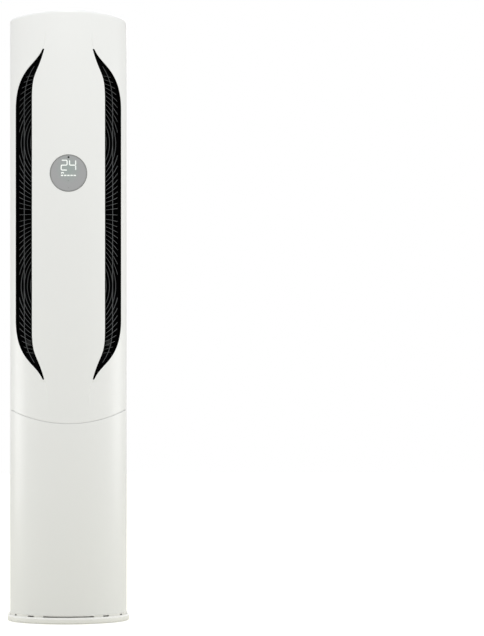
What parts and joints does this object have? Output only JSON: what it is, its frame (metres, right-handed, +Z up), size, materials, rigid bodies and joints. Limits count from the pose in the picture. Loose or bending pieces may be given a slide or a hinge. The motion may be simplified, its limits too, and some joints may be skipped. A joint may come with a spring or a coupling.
{
  "type": "floor-standing tower air conditioner",
  "caption": "Slim white tower with an elliptical front, long curved air outlets behind black ribbed guards, a round temperature display and a projecting base",
  "frame": {"origin": "on the floor under the middle of the base, in the plane of the body's widest line", "axes": "+Z up, +X to the right of a viewer in front of the tower, the front faces -Y"},
  "size_m": [0.368, 0.314, 1.84],
  "materials": {
    "white_shell": "satin white moulding",
    "black_moulding": "black moulding",
    "grey_moulding": "grey moulding",
    "ivory_moulding": "warm white moulding",
    "display_grey": "grey tinted lens",
    "smoked_lens": "smoked lens",
    "board_green": "green board",
    "sheet_steel": "zinc-coated sheet",
    "aluminium_fins": "finned pack",
    "copper": "bare copper",
    "brass": "turned brass",
    "machined_steel": "turned steel",
    "rubber": "black rubber",
    "foam_white": "moulded foam"
  },
  "bodies": {
    "cabinet": {"base_plinth": "ivory_moulding", "foot_pad_front_left": "rubber", "foot_pad_front_right": "rubber", "foot_pad_rear_left": "rubber", "foot_pad_rear_right": "rubber", "front_panel": "white_shell", "rear_cabinet": "white_shell", "top_cover": "white_shell", "rear_intake_grille": "white_shell", "filter_rail_frame": "ivory_moulding", "evaporator_coil": "aluminium_fins", "tube_sheet_left": "copper", "tube_sheet_right": "copper", "drain_pan": "foam_white", "drain_spout": "ivory_moulding", "service_deck": "sheet_steel", "orifice_plate": "ivory_moulding", "motor_bulkhead": "sheet_steel", "fan_motor_upper": "sheet_steel", "fan_motor_lower": "sheet_steel", "outlet_guard_left": "black_moulding", "outlet_guard_right": "black_moulding", "vane_bearing_lower_left": "grey_moulding", "vane_bearing_upper_left": "grey_moulding", "vane_bearing_lower_right": "grey_moulding", "vane_bearing_upper_right": "grey_moulding", "vane_motor_left": "sheet_steel", "vane_motor_right": "sheet_steel", "display_housing": "grey_moulding", "display_lens": "display_grey", "receiver_window": "smoked_lens", "display_board": "board_green", "control_box": "sheet_steel", "control_box_lid": "sheet_steel", "control_board": "board_green", "terminal_block": "ivory_moulding", "gas_pipe": "copper", "liquid_pipe": "copper", "gas_flare_nut": "brass", "liquid_flare_nut": "brass", "pipe_grommet": "rubber", "power_cord_gland": "rubber"},
    "fan_upper": {"fan_upper": "grey_moulding", "fan_shaft_upper": "machined_steel", "fan_nut_upper": "machined_steel"},
    "fan_lower": {"fan_lower": "grey_moulding", "fan_shaft_lower": "machined_steel", "fan_nut_lower": "machined_steel"},
    "vane_left_inner": {"vane_left_inner": "black_moulding"},
    "vane_left_outer": {"vane_left_outer": "black_moulding"},
    "vane_link_left": {"vane_link_left": "black_moulding"},
    "vane_right_inner": {"vane_right_inner": "black_moulding"},
    "vane_right_outer": {"vane_right_outer": "black_moulding"},
    "vane_link_right": {"vane_link_right": "black_moulding"},
    "filter_left": {"filter_left": "white_shell"},
    "filter_right": {"filter_right": "white_shell"},
    "lower_cover": {"lower_front_cover": "white_shell"}
  },
  "joints": [
    {"name": "fan_upper_spin", "type": "hinge", "parent": "cabinet", "child": "fan_upper", "pos_m": [0, 0.0041, 1.442], "axis": [0, 1, 0], "continuous": true},
    {"name": "fan_lower_spin", "type": "hinge", "parent": "cabinet", "child": "fan_lower", "pos_m": [0, 0.0041, 1.013], "axis": [0, 1, 0], "continuous": true},
    {"name": "vane_left_inner_swing", "type": "hinge", "parent": "cabinet", "child": "vane_left_inner", "pos_m": [-0.11671, -0.06295, 0.8575], "axis": [0, 0, 1], "range_deg": [-30, 30]},
    {"name": "vane_left_outer_swing", "type": "hinge", "parent": "cabinet", "child": "vane_left_outer", "pos_m": [-0.13488, -0.03188, 0.8575], "axis": [0, 0, 1], "range_deg": [-30, 30]},
    {"name": "vane_link_left_turn", "type": "hinge", "parent": "vane_left_inner", "child": "vane_link_left", "pos_m": [-0.10635, -0.0569, 1.5985], "axis": [0, 0, 1], "range_deg": [-30, 30]},
    {"name": "vane_right_inner_swing", "type": "hinge", "parent": "cabinet", "child": "vane_right_inner", "pos_m": [0.11671, -0.06295, 0.8575], "axis": [0, 0, 1], "range_deg": [-30, 30]},
    {"name": "vane_right_outer_swing", "type": "hinge", "parent": "cabinet", "child": "vane_right_outer", "pos_m": [0.13488, -0.03188, 0.8575], "axis": [0, 0, 1], "range_deg": [-30, 30]},
    {"name": "vane_link_right_turn", "type": "hinge", "parent": "vane_right_inner", "child": "vane_link_right", "pos_m": [0.10635, -0.0569, 1.5985], "axis": [0, 0, 1], "range_deg": [-30, 30]},
    {"name": "filter_left_pull", "type": "slide", "parent": "cabinet", "child": "filter_left", "axis": [-1, 0, 0], "range_m": [0, 0.175]},
    {"name": "filter_right_pull", "type": "slide", "parent": "cabinet", "child": "filter_right", "axis": [1, 0, 0], "range_m": [0, 0.175]},
    {"name": "lower_cover_pull", "type": "slide", "parent": "cabinet", "child": "lower_cover", "axis": [0, -1, 0], "range_m": [0, 0.2]}
  ],
  "couplings": [
    {"joint": "vane_left_outer_swing", "follows": "vane_left_inner_swing", "ratio": 1},
    {"joint": "vane_link_left_turn", "follows": "vane_left_inner_swing", "ratio": -1},
    {"joint": "vane_right_outer_swing", "follows": "vane_right_inner_swing", "ratio": 1},
    {"joint": "vane_link_right_turn", "follows": "vane_right_inner_swing", "ratio": -1}
  ]
}
